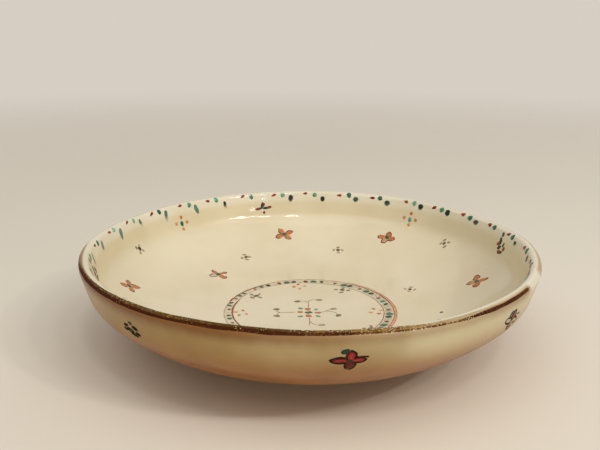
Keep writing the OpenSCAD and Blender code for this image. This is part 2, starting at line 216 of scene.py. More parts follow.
bare_clay, shader, recipe = new_finish("bare_clay", roughness=0.78)
grog = recipe.node("ShaderNodeTexVoronoi", {}, {"Vector": recipe.place(), "Scale": 900.0}, "Distance")
warmth = recipe.cloud(60.0, 3.0).ramp(0.3, 0.7)
clay_tone = warmth.mix(colour(196, 164, 120), colour(168, 128, 84))
clay_tone = (1 - grog.ramp(0.1, 0.32)).mix(clay_tone, colour(120, 84, 52))
feed(shader, "Base Color", clay_tone)
low = recipe.node("ShaderNodeVectorMath", {"operation": "MULTIPLY"}, {0: recipe.place(), 1: (1, 1, 0.6)})
from_axis = recipe.node("ShaderNodeVectorMath", {"operation": "LENGTH"}, {0: low}, "Value")
groove_pitch = 5200
grooves = from_axis * groove_pitch + recipe.cloud(40.0, 1.0) * 3
trimming = recipe.math("SINE", grooves) * 0.3
feed(shader, "Normal", (grog + trimming + recipe.cloud(1400.0, 2.0)).bump(0.35, 0.0002))

add_piece("thrown_bowl", turn_on_wheel(half_section("clay_body"), steps=128), bare_clay,
          "bare_clay", "clay_body")


# Foot
# A ring of the same clay, turned true with a trimming tool and left bare, so that it doesn't stick
# to the kiln shelf. Its edges are wiped round with a wet sponge.
foot_edge, sharp = 0.0005, radians(25)
foot = turn_on_wheel(half_section("foot_ring"), steps=160)
rims = [e for e in foot.edges if len(e.link_faces) == 2 and e.calc_face_angle() > sharp]
bmesh.ops.bevel(foot, geom=rims, offset=foot_edge, offset_type="OFFSET", segments=3, profile=0.5,
                affect="EDGES", material=-1, clamp_overlap=True)
add_piece("turned_foot", foot, bare_clay, "bare_clay", "foot_ring")


# Cream glaze
# One dip of cream glaze over the whole bowl: glossy and cloudy in the well, and brown where the iron
# of the lip bleeds into it. Painted light and shade are in its colour too: the lip and the top of the
# inside wall are painted whitest as painted light, the wall above the well a little darker as painted
# shade, and the outside darker than the inside as painted shade. Low on the outside, and most on the
# front left, it is toasted to tan and painted darker and browner, as painted shade and painted warm
# reflected light.
def iron_load(turn):
    """How much iron the brush left on the lip, round the plate."""
    return swell(turn, (0, 0.45), (150, 0.4), (182, 0.2), (192, 0.6), (206, 1), (264, 1), (270, 0.75),
                 (277, 0.85), (282, 0.4), (292, 0.34), (294, 0.75), (296, 0.6), (298, 0.3), (302, 0.4),
                 (305, 1), (325, 1), (327, 0), (335, 0), (337, 0.75), (343, 0.6), (360, 0.45))


def iron_bleed(turn):
    """How far that iron ran down into the glaze under it."""
    return swell(turn, (0, 0.5), (150, 0.4), (182, 0.25), (196, 1), (250, 1), (265, 0.75), (280, 0.5),
                 (300, 0.5), (325, 0.7), (328, 0.15), (335, 0.15), (340, 0.6), (360, 0.5))


glaze_bm = turn_on_wheel(half_section("inner_glaze", "outer_glaze"), steps=144)
outer_side = glaze_bm.verts.layers.float.new("outer_side")
iron_above = glaze_bm.verts.layers.float.new("iron_above")
glaze_bm.normal_update()
for v in glaze_bm.verts:
    away = Vector((v.co.x, v.co.y, 0)).normalized()
    v[outer_side] = 1.0 if v.normal.dot(away) > 0.25 or v.normal.z < -0.3 else 0.0
    v[iron_above] = iron_bleed(atan2(v.co.y, v.co.x) * 180 / pi)

fleck_at = Vector((0.0632, -0.0078, 0.0150))
fleck_size = 0.0012
# Painted shade: the outside is painted darker and browner towards this side, the front left, as that side is
# in shade and takes warm reflected light.
shade_turn = radians(-135)
shaded_side = (cos(shade_turn), sin(shade_turn), 0)


def cream_finish(name, roughness):
    """The glaze: cloudy cream with iron specks and soft throwing ripples, a brown bleed at the lip, and
    painted light and shade in its colour.
    """
    made, shader, recipe = new_finish(name, roughness)
    place = recipe.place()
    height = recipe.node("ShaderNodeSeparateXYZ", {}, {0: place}, "Z")
    outer = recipe.painted("outer_side")
    cloud = recipe.cloud(28.0, 3.0, place).ramp(0.3, 0.7)
    # Painted light: the lip and the top of the inside wall are painted whiter and cooler, as where light
    # falls on them.
    lip = cloud.mix(colour(237, 231, 211), colour(231, 223, 200))
    well = cloud.mix(colour(232, 221, 192), colour(226, 213, 181))
    # Painted shade: the steep wall above the well is a little darker than the well.
    wall = cloud.mix(colour(228, 215, 181), colour(221, 206, 170))
    inside = height.ramp(0.028, 0.036).mix(well, wall)
    iron = recipe.painted("iron_above")
    inside = (height.ramp(0.0405, 0.0445) * (1 - iron * 0.6)).mix(inside, lip)
    # Painted shade: the outside's own cream is set darker than the inside's, as the outside is in shade.
    pale = cloud.mix(colour(212, 198, 160), colour(202, 186, 146))
    # Painted shade and painted warm reflected light: the darker, browner tone of the shaded front left side.
    painted_shade_tone = cloud.mix(colour(174, 142, 82), colour(162, 128, 68))
    to_shaded_side = recipe.node("ShaderNodeVectorMath", {"operation": "DOT_PRODUCT"},
                           {0: place, 1: shaded_side}, "Value")
    high = (to_shaded_side + (cloud - 0.5) * 0.02).ramp(0.02, 0.1).mix(pale, painted_shade_tone)
    mottle = recipe.cloud(95.0, 4.0, place).ramp(0.3, 0.7)
    # Toast low on the outside, made deeper and more orange as painted shade and painted warm reflected light;
    # near the foot it is a paler tan.
    toast_and_painted_shade = mottle.mix(colour(162, 98, 14), colour(148, 86, 10))
    under = mottle.mix(cloud.mix(colour(196, 150, 92), colour(180, 130, 72)), colour(166, 116, 62))
    low = height.ramp(0.012, 0.026).mix(under, toast_and_painted_shade)
    outside = height.ramp(0.025, 0.0415).mix(low, high)
    outside = (height.ramp(0.0425, 0.0465) * (1 - iron.ramp(0.2, 0.5))).mix(outside, lip)
    streaks = recipe.node("ShaderNodeMapping", {}, {"Vector": place, "Scale": (1.0, 1.0, 0.15)})
    runs = recipe.cloud(200.0, 2.0, streaks)
    bleed = (height + (runs - 0.5) * 0.0015).ramp(0.041, 0.0466) * (1 - height.ramp(0.0476, 0.048))
    outside = (bleed * iron * 0.95).mix(outside, colour(128, 78, 18))
    base = outer.mix(inside, outside)
    cells = recipe.node("ShaderNodeTexVoronoi", {}, {"Vector": place, "Scale": 210.0}, "Distance")
    chosen = recipe.cloud(75.0, 0.0, place).ramp(0.62, 0.68)
    specks = (1 - cells.ramp(0.03, 0.07)) * chosen
    base = (specks * 0.5).mix(base, colour(128, 92, 52))
    from_fleck = recipe.node("ShaderNodeVectorMath", {"operation": "DISTANCE"},
                             {0: place, 1: fleck_at}, "Value")
    base = (1 - from_fleck.ramp(fleck_size * 0.5, fleck_size)).mix(base, colour(46, 36, 20))
    feed(shader, "Base Color", base)
    feed(shader, "Roughness", recipe.cloud(45.0, 2.0, place) * 0.06 + outer * 0.2 + (roughness - 0.03))
    ripple = recipe.node("ShaderNodeMapping", {}, {"Vector": place, "Scale": (0.25, 0.25, 2.2)})
    waves = recipe.cloud(90.0, 1.0, ripple) + recipe.cloud(420.0, 2.0, place) * 0.12
    feed(shader, "Normal", waves.bump(0.22, 0.0006))
    return made


cream_glaze = add_piece("cream_glaze", glaze_bm, cream_finish("cream_glaze", roughness=0.09),
                        "cream_glaze", "inner_glaze", "outer_glaze")
smooth = cream_glaze.modifiers.new("round_off", "SUBSURF")
smooth.levels = smooth.render_levels = 1
base_coat_bm = turn_on_wheel(half_section("base_glaze"), steps=96)
under_side = base_coat_bm.verts.layers.float.new("outer_side")
for v in base_coat_bm.verts:
    v[under_side] = 1.0
add_piece("base_coat", base_coat_bm, cream_finish("base_glaze", roughness=0.22), "cream_glaze",
          "base_glaze")
bed = BVHTree.FromObject(cream_glaze, bpy.context.evaluated_depsgraph_get())


def settle(point, up):
    """Where a brush held over the plate comes down on the glaze, and the way up there."""
    lift = 0.006
    hit = bed.ray_cast(point + up * lift, -up, 2 * lift)
    return hit[:2] if hit[0] else bed.find_nearest(point)[:2]


# Iron line on the lip
# A brush loaded with iron pigment is held to the outer edge of the lip as the plate turns. The line
# swells and starves, and stops short of its start on the right, where the lip stays pale.
def start_strokes():
    """An empty set of strokes, with what each point of a stroke carries for its finish."""
    strokes = bmesh.new()
    for carried in ("body", "run", "tint", "load"):
        strokes.verts.layers.float.new(carried)
    return strokes


def brush(strokes, place, rise, tint=0.5, load=lambda s: 1.0, around=8, along=8):
    """Lay one closed, low-domed stroke, with its rise in metres. place(s, a) gives the point over which
    length s and width a come down, both from -1 to 1, and the way up there; load(s) gives how much colour
    is left in the brush."""
    layers = strokes.verts.layers.float
    for v in bmesh.ops.create_uvsphere(strokes, u_segments=around, v_segments=along, radius=1)["verts"]:
        s = asin(max(-1.0, min(1.0, v.co.z))) / (pi / 2)
        ring = hypot(v.co.x, v.co.y)
        a, h = (v.co.x / ring, v.co.y / ring) if ring > 1e-4 else (0.0, 0.0)
        spot, normal = settle(*place(s, a))
        ends = min(1.0, 2.2 * ring)
        v.co = spot + normal * (h * ends * rise)
        v[layers["body"]] = max(0.0, h) * ends
        v[layers["run"]] = s
        v[layers["tint"]] = tint
        v[layers["load"]] = load(s)


lip_round = 0.0024
lip_mid_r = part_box("outer_glaze")[1].x - lip_round
lip_mid_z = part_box("outer_glaze")[1].z - lip_round


def over_lip(turn, angle):
    """Point on the lip at a direction round the plate and an angle up from its outer side."""
    away = Vector((cos(radians(turn)), sin(radians(turn)), 0))
    up = away * cos(radians(angle)) + Vector((0, 0, sin(radians(angle))))
    return away * lip_mid_r + Vector((0, 0, lip_mid_z - rim_sag(turn))) + up * lip_round, up


def on_lip_line(s):
    """Direction at a place along the line, which runs from the right round the back to the front."""
    line_end, line_sweep = 344, 361
    return line_end - line_sweep * (1 - s) / 2


def lip_line_place(s, a):
    turn = on_lip_line(s)
    middle = swell(turn, (0, 24), (165, 22), (197, 28), (208, 42), (230, 40), (250, 43), (262, 47), (276, 51),
                   (290, 46), (304, 42), (311, 37), (326, 38), (336, 30), (360, 24))
    half = swell(turn, (0, 5), (165, 4), (185, 5), (197, 9), (204, 16), (210, 19), (225, 17), (242, 14),
                 (252, 20), (263, 24), (268, 19), (276, 19), (284, 12), (299, 10), (304, 14), (309, 20),
                 (325, 20), (326.5, 2), (335, 2), (338, 9), (360, 6))
    half *= 1 + 0.25 * noise(Vector((turn / 4, 3.1 + a, 0)))
    middle += 3 * noise(Vector((turn / 9, 7.7, 0)))
    return over_lip(turn, middle + a * half)


def iron_finish(name, dark, thin, cover, broken):
    """Iron pigment sunk in the glaze: near black where it is thick, tan and broken where it starves."""
    made, shader, recipe = new_finish(name, roughness=0.5)
    shader.inputs["Specular IOR Level"].default_value = 0.04
    place = recipe.place()
    mottle = recipe.cloud(900.0, 3.0, place)
    pools = recipe.cloud(240.0, 2.0, place)
    load = recipe.painted("load")
    body = recipe.painted("body")
    thick = (load * 0.8 + body * 0.3 + (pools - 0.5) * 1.1 + (mottle - 0.5) * 0.7).ramp(0.3, 1.0)
    feed(shader, "Base Color", thick.mix(thin, dark))
    left = load * cover + (mottle - 0.5) * broken + (pools - 0.5) * broken * 0.7
    crawled = recipe.node("ShaderNodeTexVoronoi", {}, {"Vector": place, "Scale": 1100.0}, "Distance")
    whole = 1 - (1 - crawled.ramp(0.24, 0.48)) * (pools + (1 - load) * 0.75).ramp(0.46, 0.7)
    feed(shader, "Alpha", (left + body * 0.3).ramp(0.25, 0.7) * body.ramp(0.0, 0.35) * whole)
    feed(shader, "Roughness", mottle * 0.2 + 0.4)
    feed(shader, "Normal", mottle.bump(0.2, 0.0002))
    return made


line_bm = start_strokes()
brush(line_bm, lip_line_place, rise=0.00009, load=lambda s: iron_load(on_lip_line(s)), around=12, along=480)
iron_brown = iron_finish("iron_brown", colour(68, 31, 12), colour(130, 84, 36), cover=0.95, broken=1.0)
add_piece("iron_lip_line", line_bm, iron_brown, "iron_brown", "lip_iron_line")


# Iron wash on the lip
# Where the brush was fullest, round the front, the iron ran on over the crest. It dried to a light
# brown film with a ragged dark tide line, and crawled into pale specks towards the right.
def film_turn(s):
    """Direction at a place along the film."""
    film_start, film_sweep = 198, 106
    return film_start + film_sweep * (s + 1) / 2


def film_edge(turn):
    """Angle over the lip at which the film ends, ragged as it dried."""
    edge = swell(turn, (198, 58), (207, 70), (217, 78), (227, 89), (235, 95), (242, 102), (246, 127),
                 (255, 140), (266, 146), (278, 136), (288, 108), (297, 80), (304, 60))
    return edge + 6 * noise(Vector((turn / 2.2, 1.3, 0))) + 4 * noise(Vector((turn / 0.8, 5.3, 0)))


def film_place(s, a):
    turn = film_turn(s)
    low = swell(turn, (198, 36), (230, 40), (262, 42), (290, 36), (304, 36))
    return over_lip(turn, low + (film_edge(turn) - low) * (a + 1) / 2)


def film_load(s):
    return swell(film_turn(s), (198, 0.75), (225, 0.8), (262, 0.95), (272, 0.75), (282, 0.5), (296, 0.35),
                 (304, 0.1))


def tide_line_place(s, a):
    tide_start, tide_sweep, tide_half = 208, 52, 6
    turn = tide_start + tide_sweep * (s + 1) / 2
    return over_lip(turn, film_edge(turn) - 4 + a * tide_half * max(0.0, 1 - s ** 8))


wash_bm = start_strokes()
brush(wash_bm, film_place, rise=0.00005, load=film_load, around=14, along=260)
brush(wash_bm, tide_line_place, rise=0.00008, along=180)
iron_wash = iron_finish("iron_wash", colour(90, 62, 24), colour(184, 146, 84), cover=0.9, broken=0.9)
add_piece("iron_lip_wash", wash_bm, iron_wash, "iron_wash", "lip_iron_wash")


# Border under the lip
# Red, green and dark touches repeat round the inside of the lip: a small slanting red one, a glassy
# drop of copper green, and lower down a watery dark stroke that fades on the wall.
class Mark:
    """One touch of the brush on the glaze: its middle, the way it runs, its length and its width.
    Right and up are as someone sees them who faces the glaze there."""

    def __init__(self, middle, way, long, wide, above=None):
        self.middle, self.normal = settle(middle, above) if above else bed.find_nearest(middle)[:2]
        away = Vector((self.middle.x, self.middle.y, 0))
        level = Vector((-away.y, away.x, 0)) * (1 if self.normal.dot(away) < 0 else -1)
        level = (level - self.normal * level.dot(self.normal)).normalized()
        self.up, self.right = level.cross(self.normal), -level
        self.axis = (way - self.normal * way.dot(self.normal)).normalized()
        self.cross = self.normal.cross(self.axis)
        self.long, self.wide = long, wide

    def spot(self, x, y, lean, long, wide):
        """Another touch, x mm to the right and y mm up from here, leaning some degrees from level."""
        way = self.right * cos(radians(lean)) + self.up * sin(radians(lean))
        return Mark(self.middle + (self.right * x + self.up * y) * mm, way, long * mm, wide * mm, self.normal)

    def dab(self, seed, point=0.0, taper=0.0):
        """A place for the brush along this touch: with pointed ends, or wider at its end."""
        def place(s, a):
            half = self.wide / 2 * max(0.0, 1 - s * s) ** (0.5 + point) * (1 + taper * s)
            half *= 1 + 0.3 * noise(Vector((1.7 * s, a, 3.7 * seed)))
            return self.middle + self.axis * (self.long / 2 * s) + self.cross * (a * half), self.normal
        return place


def marks_of(node):
    """The separate brush marks of a CAD node, in their order round the plate."""
    merged = bmesh.new()
    merged.from_mesh(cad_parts[node].data)
    bmesh.ops.remove_doubles(merged, verts=merged.verts, dist=same_spot)
    found = []
    for first in merged.verts:
        first.tag = False
    for first in merged.verts:
        if first.tag:
            continue
        first.tag = True
        patch = [first]
        for v in patch:
            for edge in v.link_edges:
                near = edge.other_vert(v)
                if not near.tag:
                    near.tag = True
                    patch.append(near)
        middle = sum((v.co for v in patch), Vector()) / len(patch)
        far = max(patch, key=lambda v: (v.co - middle).length).co
        found.append(Mark(middle, far - middle, 2 * (far - middle).length, (far - middle).length))
    merged.free()
    return sorted(found, key=lambda mark: (round(atan2(mark.middle.y, mark.middle.x), 4), mark.middle.z))


def chance(seed, which=0.0, low=0.0, high=1.0):
    """A steady number between two others for one stroke, the same on each run."""
    return low + (high - low) * ((sin(seed * 127.1 + which * 311.7 + 0.5) * 43758.5453) % 1)


def enamel_finish(name, thin, thick, edge, roughness=0.3, coat=0.15, cover=0.95, soft=0.3, fade=0.0,
                  shine=0.25, tide=0.5):
    """An enamel: thin colour that deepens where it pools, with a tide line of its own. cover is how well it
    hides the glaze, soft how far its rim melts away, fade how much it starves along a stroke, and tide how
    strong the line at its rim is."""
    made, shader, recipe = new_finish(name, roughness, coat)
    shader.inputs["Specular IOR Level"].default_value = shine
    place = recipe.place()
    body, run = recipe.painted("body"), recipe.painted("run")
    tint, load = recipe.painted("tint"), recipe.painted("load")
    grain = recipe.cloud(900.0, 2.0, place)
    pool = recipe.cloud(380.0, 2.0, place)
    depth = (body * 0.45 + (tint - 0.5) * 1.1 + (pool - 0.5) * 1.2 + 0.3).ramp(0.0, 1.0)
    base = depth.mix(thin, thick)
    rim = (1 - body.ramp(0.12, 0.5)) * tide
    feed(shader, "Base Color", rim.mix(base, edge))
    left = load - run.ramp(-0.7, 1.0) * fade
    hide = body.ramp(0.0, soft) * (left * cover + (grain - 0.5) * 0.4 + (pool - 0.5) * 0.3).ramp(0.0, 0.85)
    feed(shader, "Alpha", hide)
    feed(shader, "Normal", grain.bump(0.08, 0.0002))
    return made


def beside(mark):
    """How far a mark lies to the right of the plate, where marks are drawn in other sizes and places, and
    where reds and greens get a deeper tint as painted shade.
    """
    return max(0.0, cos(atan2(mark.middle.y, mark.middle.x) - 0.3)) ** 2


rim_reds = start_strokes()
for i, mark in enumerate(marks_of("rim_red_dabs")):
    touch = mark.spot(chance(i, 1, -0.6, 0.6), chance(i, 2, -0.3, 0.5), chance(i, 3, -10, 35),
                      chance(i, 4, 2.8, 3.8), chance(i, 5, 1.3, 1.7) * (1 + 0.4 * beside(mark)))
    # Painted shade: reds to the right of the plate get a deeper tint.
    brush(rim_reds, touch.dab(i, taper=0.4, point=0.1), rise=0.00012, tint=chance(i, 6) + 0.3 * beside(mark))
red_enamel = enamel_finish("red_enamel", colour(172, 66, 44), colour(122, 32, 24), colour(112, 34, 26))
add_piece("rim_red_strokes", rim_reds, red_enamel, "red_enamel", "rim_red_dabs")

rim_greens = start_strokes()
for i, mark in enumerate(marks_of("rim_green_dabs")):
    touch = mark.spot(chance(i, 7, -0.5, 0.5), chance(i, 8, -0.4, 0.4), chance(i, 9, 30, 120),
                      chance(i, 10, 2.8, 3.6), chance(i, 11, 2.2, 2.8) * (1 + 0.3 * beside(mark)))
    # Painted shade: greens to the right of the plate get a deeper tint.
    brush(rim_greens, touch.dab(i, taper=0.15), rise=0.00028, tint=chance(i, 12) + 0.45 * beside(mark),
          load=lambda s, i=i: chance(i, 13, 0.7, 1.2))
green_enamel = enamel_finish("green_enamel", colour(138, 202, 166), colour(18, 100, 70), colour(52, 134, 100),
                             roughness=0.12, coat=0.35, soft=0.22)
add_piece("rim_green_strokes", rim_greens, green_enamel, "green_enamel", "rim_green_dabs")

watery_side = -0.05
rim_darks = start_strokes()
for i, mark in enumerate(marks_of("rim_dark_dabs")):
    watery = 0.5 if mark.middle.x < watery_side else 0.0
    touch = mark.spot(chance(i, 14, -0.5, 0.5), chance(i, 15, -0.6, 0.4) + 1.1 * beside(mark) - 1.6 * watery,
                      chance(i, 16, -102, -72),
                      chance(i, 17, 3.6, 5.5) * (1 - 0.3 * beside(mark) + 0.8 * watery),
                      chance(i, 18, 2.6, 3.6) * (1 + 0.3 * beside(mark) - 0.3 * watery))
    brush(rim_darks, touch.dab(i, taper=-0.15), rise=0.00008, tint=chance(i, 19, 0.4, 1.2) - watery,
          load=lambda s, i=i: chance(i, 20, 1.0, 1.4) - 0.6 * watery)
dark_enamel = enamel_finish("dark_enamel", colour(98, 134, 112), colour(20, 44, 34), colour(84, 114, 94),
                            coat=0.0, cover=1.0, soft=0.9, fade=0.75)
add_piece("rim_dark_strokes", rim_darks, dark_enamel, "dark_enamel", "rim_dark_dabs")


# Medallion rings
# Two red lines are drawn on the turning plate, with a pale grey wash brushed between them. The outer
# one was gone over on the right and at the back left, and on the left the inner one is thick and dark.
ring_start, ring_sweep, well_height = 270, 363, 0.012


def ring_place(radius, half, wander, start=ring_start, sweep=ring_sweep):
    """A line round the well. radius and half its width, in metres, change with the direction in degrees."""
    def place(s, a):
        turn = start + sweep * (s + 1) / 2
        ends = min(1.0, 30 * (1 - abs(s))) ** 0.5
        r = radius(turn) + a * half(turn) * ends + 0.00022 * noise(Vector((turn / 16, wander, 0)))
        r += a * half(turn) * 0.5 * noise(Vector((turn / 4, wander + 5, 0)))
        return Vector((r * cos(radians(turn)), r * sin(radians(turn)), well_height)), Vector((0, 0, 1))
    return place


def ring_swell(s, *stops):
    """A change with the direction, for a place along a line that goes all the way round."""
    return swell(ring_start + ring_sweep * (s + 1) / 2, *stops)


ring_line_half = 0.0004
outer_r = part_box("medallion_outer_line")[1].x - ring_line_half
inner_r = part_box("medallion_inner_line")[1].x - ring_line_half
ring_enamel = enamel_finish("ring_red", colour(214, 130, 74), colour(144, 62, 34), colour(176, 96, 54),
                            soft=0.35)


def outer_line_r(turn):
    return outer_r - swell(turn, (100, 0), (140, 0.0011), (165, 0.0012), (195, 0.0003), (360, 0))


def outer_line_half(turn):
    return swell(turn, (0, 0.0003), (90, 0.00026), (170, 0.00024), (260, 0.0003), (360, 0.0003))


def outer_line_load(s):
    return ring_swell(s, (0, 0.9), (60, 0.7), (95, 0.5), (130, 0.7), (168, 0.6), (182, 0.4), (230, 0.4),
                      (270, 0.8), (360, 0.9))


outer_bm = start_strokes()
brush(outer_bm, ring_place(outer_line_r, outer_line_half, 1), rise=0.00008, tint=0.4, along=300,
      load=outer_line_load)
# Strokes that go over it: how far out, half width, seed, start and sweep, rise, tint, steps, and load.
gone_over = [(-0.0010, 0.0005, 6, 124, 44, 0.0001, 1.2, 60, lambda s: 1.05 - 0.3 * s * s),
             (0, 0.0004, 7, 6, 58, 0.0001, 1.1, 70, lambda s: 1.0 - 0.4 * s * s),
             (0.0012, 0.00028, 9, -64, 126, 0.00007, 0.1, 140, lambda s: 0.9 - 0.35 * abs(s)),
             (0.0006, 0.0007, 4, -60, 116, 0.00004, -0.4, 120, lambda s: 0.34 - 0.2 * s * s)]
for out, half, wander, start, sweep, rise, tint, along, load in gone_over:
    brush(outer_bm, ring_place(lambda t: outer_r + out, lambda t: half, wander, start, sweep), rise,
          tint=tint, load=load, along=along)
add_piece("medallion_outer", outer_bm, ring_enamel, "red_enamel", "medallion_outer_line")


def inner_line_r(turn):
    return inner_r + swell(turn, (60, 0), (113, 0.0010), (152, 0.0010), (170, 0.0005), (206, 0.0005),
                           (240, 0), (360, 0))


def inner_line_half(turn):
    return swell(turn, (0, 0.00022), (70, 0.0002), (155, 0.0002), (170, 0.0005), (235, 0.0004),
                 (300, 0.00028), (360, 0.00022))


def inner_line_load(s):
    return ring_swell(s, (0, 0.7), (60, 0.5), (155, 0.42), (170, 1), (235, 1), (360, 0.7))


inner_bm = start_strokes()
brush(inner_bm, ring_place(inner_line_r, inner_line_half, 2), rise=0.00008, tint=0.85, along=300,
      load=inner_line_load)
add_piece("medallion_inner", inner_bm, ring_enamel, "red_enamel", "medallion_inner_line")

line_gap = 0.0005
wash_half = (outer_r - inner_r) / 2 - line_gap


def wash_width(turn):
    return wash_half * swell(turn, (0, 1), (100, 0.9), (125, 0.6), (165, 0.6), (190, 0.9), (360, 1))


def wash_load(s):
    return ring_swell(s, (0, 0.42), (60, 0.34), (110, 0.26), (200, 0.28), (300, 0.38),
                      (360, 0.42)) + 0.12 * noise(Vector((s * 22, 2.2, 0)))


wash_bm = start_strokes()
brush(wash_bm, ring_place(lambda t: (outer_r + inner_r) / 2, wash_width, 3), rise=0.00003, around=10,
      along=260, load=wash_load)
grey_wash = enamel_finish("grey_wash", colour(214, 210, 188), colour(190, 188, 164), colour(206, 201, 178),
                          cover=0.85, soft=0.5)
add_piece("medallion_film", wash_bm, grey_wash, "grey_wash", "medallion_wash")


# Dabs on the medallion
# The same three colours as under the lip, laid one after another on the wash: a small red touch, a
# larger green drop, and a thin dark stroke.
ring_dark = enamel_finish("ring_dark", colour(98, 108, 74), colour(40, 48, 30), colour(80, 86, 60), coat=0.0,
                          soft=0.5)
# Each colour's finish and slot, length and width in mm, and rise.
dab_looks = [("red", red_enamel, "red_enamel", 2.5, 2.2, 0.0001),
             ("green", green_enamel, "green_enamel", 3.7, 3.2, 0.0002),
             ("dark", ring_dark, "dark_enamel", 3.2, 2.4, 0.00009)]
small_side, small_size = -0.022, 0.75
for n, (tone, finish, slot, long, wide, rise) in enumerate(dab_looks):
    dabs = start_strokes()
    for i, mark in enumerate(marks_of(f"medallion_{tone}_dabs")):
        size = small_size if mark.middle.x < small_side else 1.0
        touch = mark.spot(chance(i, n, -0.4, 0.4), chance(i, n + 3, -0.3, 0.3), chance(i, n + 6, 20, 160),
                          size * long * chance(i, n + 9, 0.8, 1.15),
                          size * wide * chance(i, n + 12, 0.8, 1.25))
        brush(dabs, touch.dab(i + 40, taper=0.2), rise, tint=chance(i, n + 15, 0.5, 1.2))
    add_piece(f"medallion_{tone}_strokes", dabs, finish, slot, f"medallion_{tone}_dabs")


# Sprigs inside the medallion
# Eight tiny sprigs stand just inside the ring, by turns: four orange touches round a bare middle,
# and a red-brown heart with soft grey-green touches round it.
orange_enamel = enamel_finish("orange_enamel", colour(224, 168, 118), colour(194, 110, 66),
                              colour(160, 94, 60), soft=0.35)
outline_brown = enamel_finish("outline_brown", colour(134, 94, 60), colour(82, 54, 34), colour(118, 84, 56),
                              coat=0.0, soft=0.5)
rust_enamel = enamel_finish("rust_enamel", colour(150, 62, 42), colour(96, 34, 26), colour(104, 50, 36),
                            soft=0.6)
sprig_grey = enamel_finish("sprig_grey", colour(176, 172, 136), colour(130, 134, 102), colour(168, 164, 130),
                           coat=0.0, cover=0.65, soft=1.0, shine=0.2)


def plain_dabs(name, node, finish, slot, rise, long, wide, load=1.0, tint=(0.0, 1.0), out=0.0, front_out=0.0):
    """One soft touch of the brush, sizes in mm, for each mark of a node, no two alike. out is how far they
    stand out from the middle, and front_out how far those at the front do."""
    front = -0.012
    dabs = start_strokes()
    for i, mark in enumerate(marks_of(node)):
        up = front_out if mark.middle.y < front else out
        touch = mark.spot(chance(i, 1, -0.3, 0.3), chance(i, 2, -0.3, 0.3) + up, chance(i, 3, 0, 180),
                          long * chance(i, 4, 0.8, 1.25), wide * chance(i, 5, 0.8, 1.25))
        brush(dabs, touch.dab(i + 80, taper=chance(i, 6, 0, 0.3)), rise, tint=chance(i, 7, *tint),
              load=lambda s, i=i: load * chance(i, 8, 0.75, 1.15))
    add_piece(name, dabs, finish, slot, node)


sprig_out, front_sprig_out = 0.8, 3.4
plain_dabs("medallion_orange_touches", "medallion_orange_dots", orange_enamel, "orange_enamel", rise=0.0001,
           long=2.4, wide=1.8, out=sprig_out, front_out=sprig_out)
plain_dabs("medallion_dark_middles", "medallion_dark_hearts", rust_enamel, "outline_brown", rise=0.00016,
           long=3.0, wide=2.7, tint=(0.6, 1.2), out=sprig_out, front_out=front_sprig_out)
plain_dabs("medallion_grey_touches", "medallion_grey_dots", sprig_grey, "grey_wash", rise=0.00006,
           long=2.6, wide=2.0, load=1.2, tint=(0.5, 1.2), out=sprig_out, front_out=front_sprig_out)


# Middle flower
# A dark green heart, four chunky orange petals and four mint leaves, with thin brown stems that fork
# into tendrils, each with an olive bud at its end.
middle = marks_of("centre_heart")[0]
middle.right, middle.up = Vector((1, 0, 0)), Vector((0, 1, 0))

middle_heart = start_strokes()
brush(middle_heart, middle.spot(0, 0, 5, 4.2, 3.0).dab(1), rise=0.00025, tint=0.9, around=10)
add_piece("middle_heart", middle_heart, green_enamel, "green_enamel", "centre_heart")

middle_petals = start_strokes()
for i, (x, y, lean, long, wide) in enumerate([(-0.4, 3.9, 90, 3.6, 3.0), (0, -4.2, -90, 3.8, 3.2),
                                              (-4.1, 0.3, 180, 3.0, 2.8), (4.4, -0.3, 0, 3.8, 2.4)]):
    brush(middle_petals, middle.spot(x, y, lean, long, wide).dab(i, taper=0.25), rise=0.00012,
          tint=chance(i, 1, 0.5, 1), around=10)
add_piece("middle_petals", middle_petals, orange_enamel, "orange_enamel", "centre_petals")

mint_enamel = enamel_finish("mint_enamel", colour(130, 190, 150), colour(58, 136, 98), colour(96, 156, 120),
                            roughness=0.15, coat=0.4, soft=0.3)
middle_leaves = start_strokes()
for i, (x, y, lean) in enumerate([(-4.0, 4.7, 150), (3.7, 3.6, 60), (-4.0, -5.2, 200), (4.6, -4.6, -30)]):
    brush(middle_leaves, middle.spot(x, y, lean, 3.0, 2.0).dab(i, point=0.1), rise=0.00018,
          tint=chance(i, 2), around=10)
add_piece("middle_leaves", middle_leaves, mint_enamel, "green_enamel", "centre_leaves")

stem_half = 0.24


def drawn_line(hub, start, bend, end, half):
    """A thin line drawn in one go between two places beside a hub, in mm, pulled towards a third."""
    taper = 0.3
    start, bend, end = (hub.middle + (hub.right * x + hub.up * y) * mm for x, y in (start, bend, end))

    def place(s, a):
        t = (s + 1) / 2
        at = start.lerp(bend, t).lerp(bend.lerp(end, t), t)
        way = ((bend - start) * (1 - t) + (end - bend) * t).normalized()
        up = settle(at, hub.normal)[1]
        return at + up.cross(way) * (a * half * mm * (1 - taper * t) * min(1.0, 6 * (1 - abs(s))) ** 0.5), up
    return place


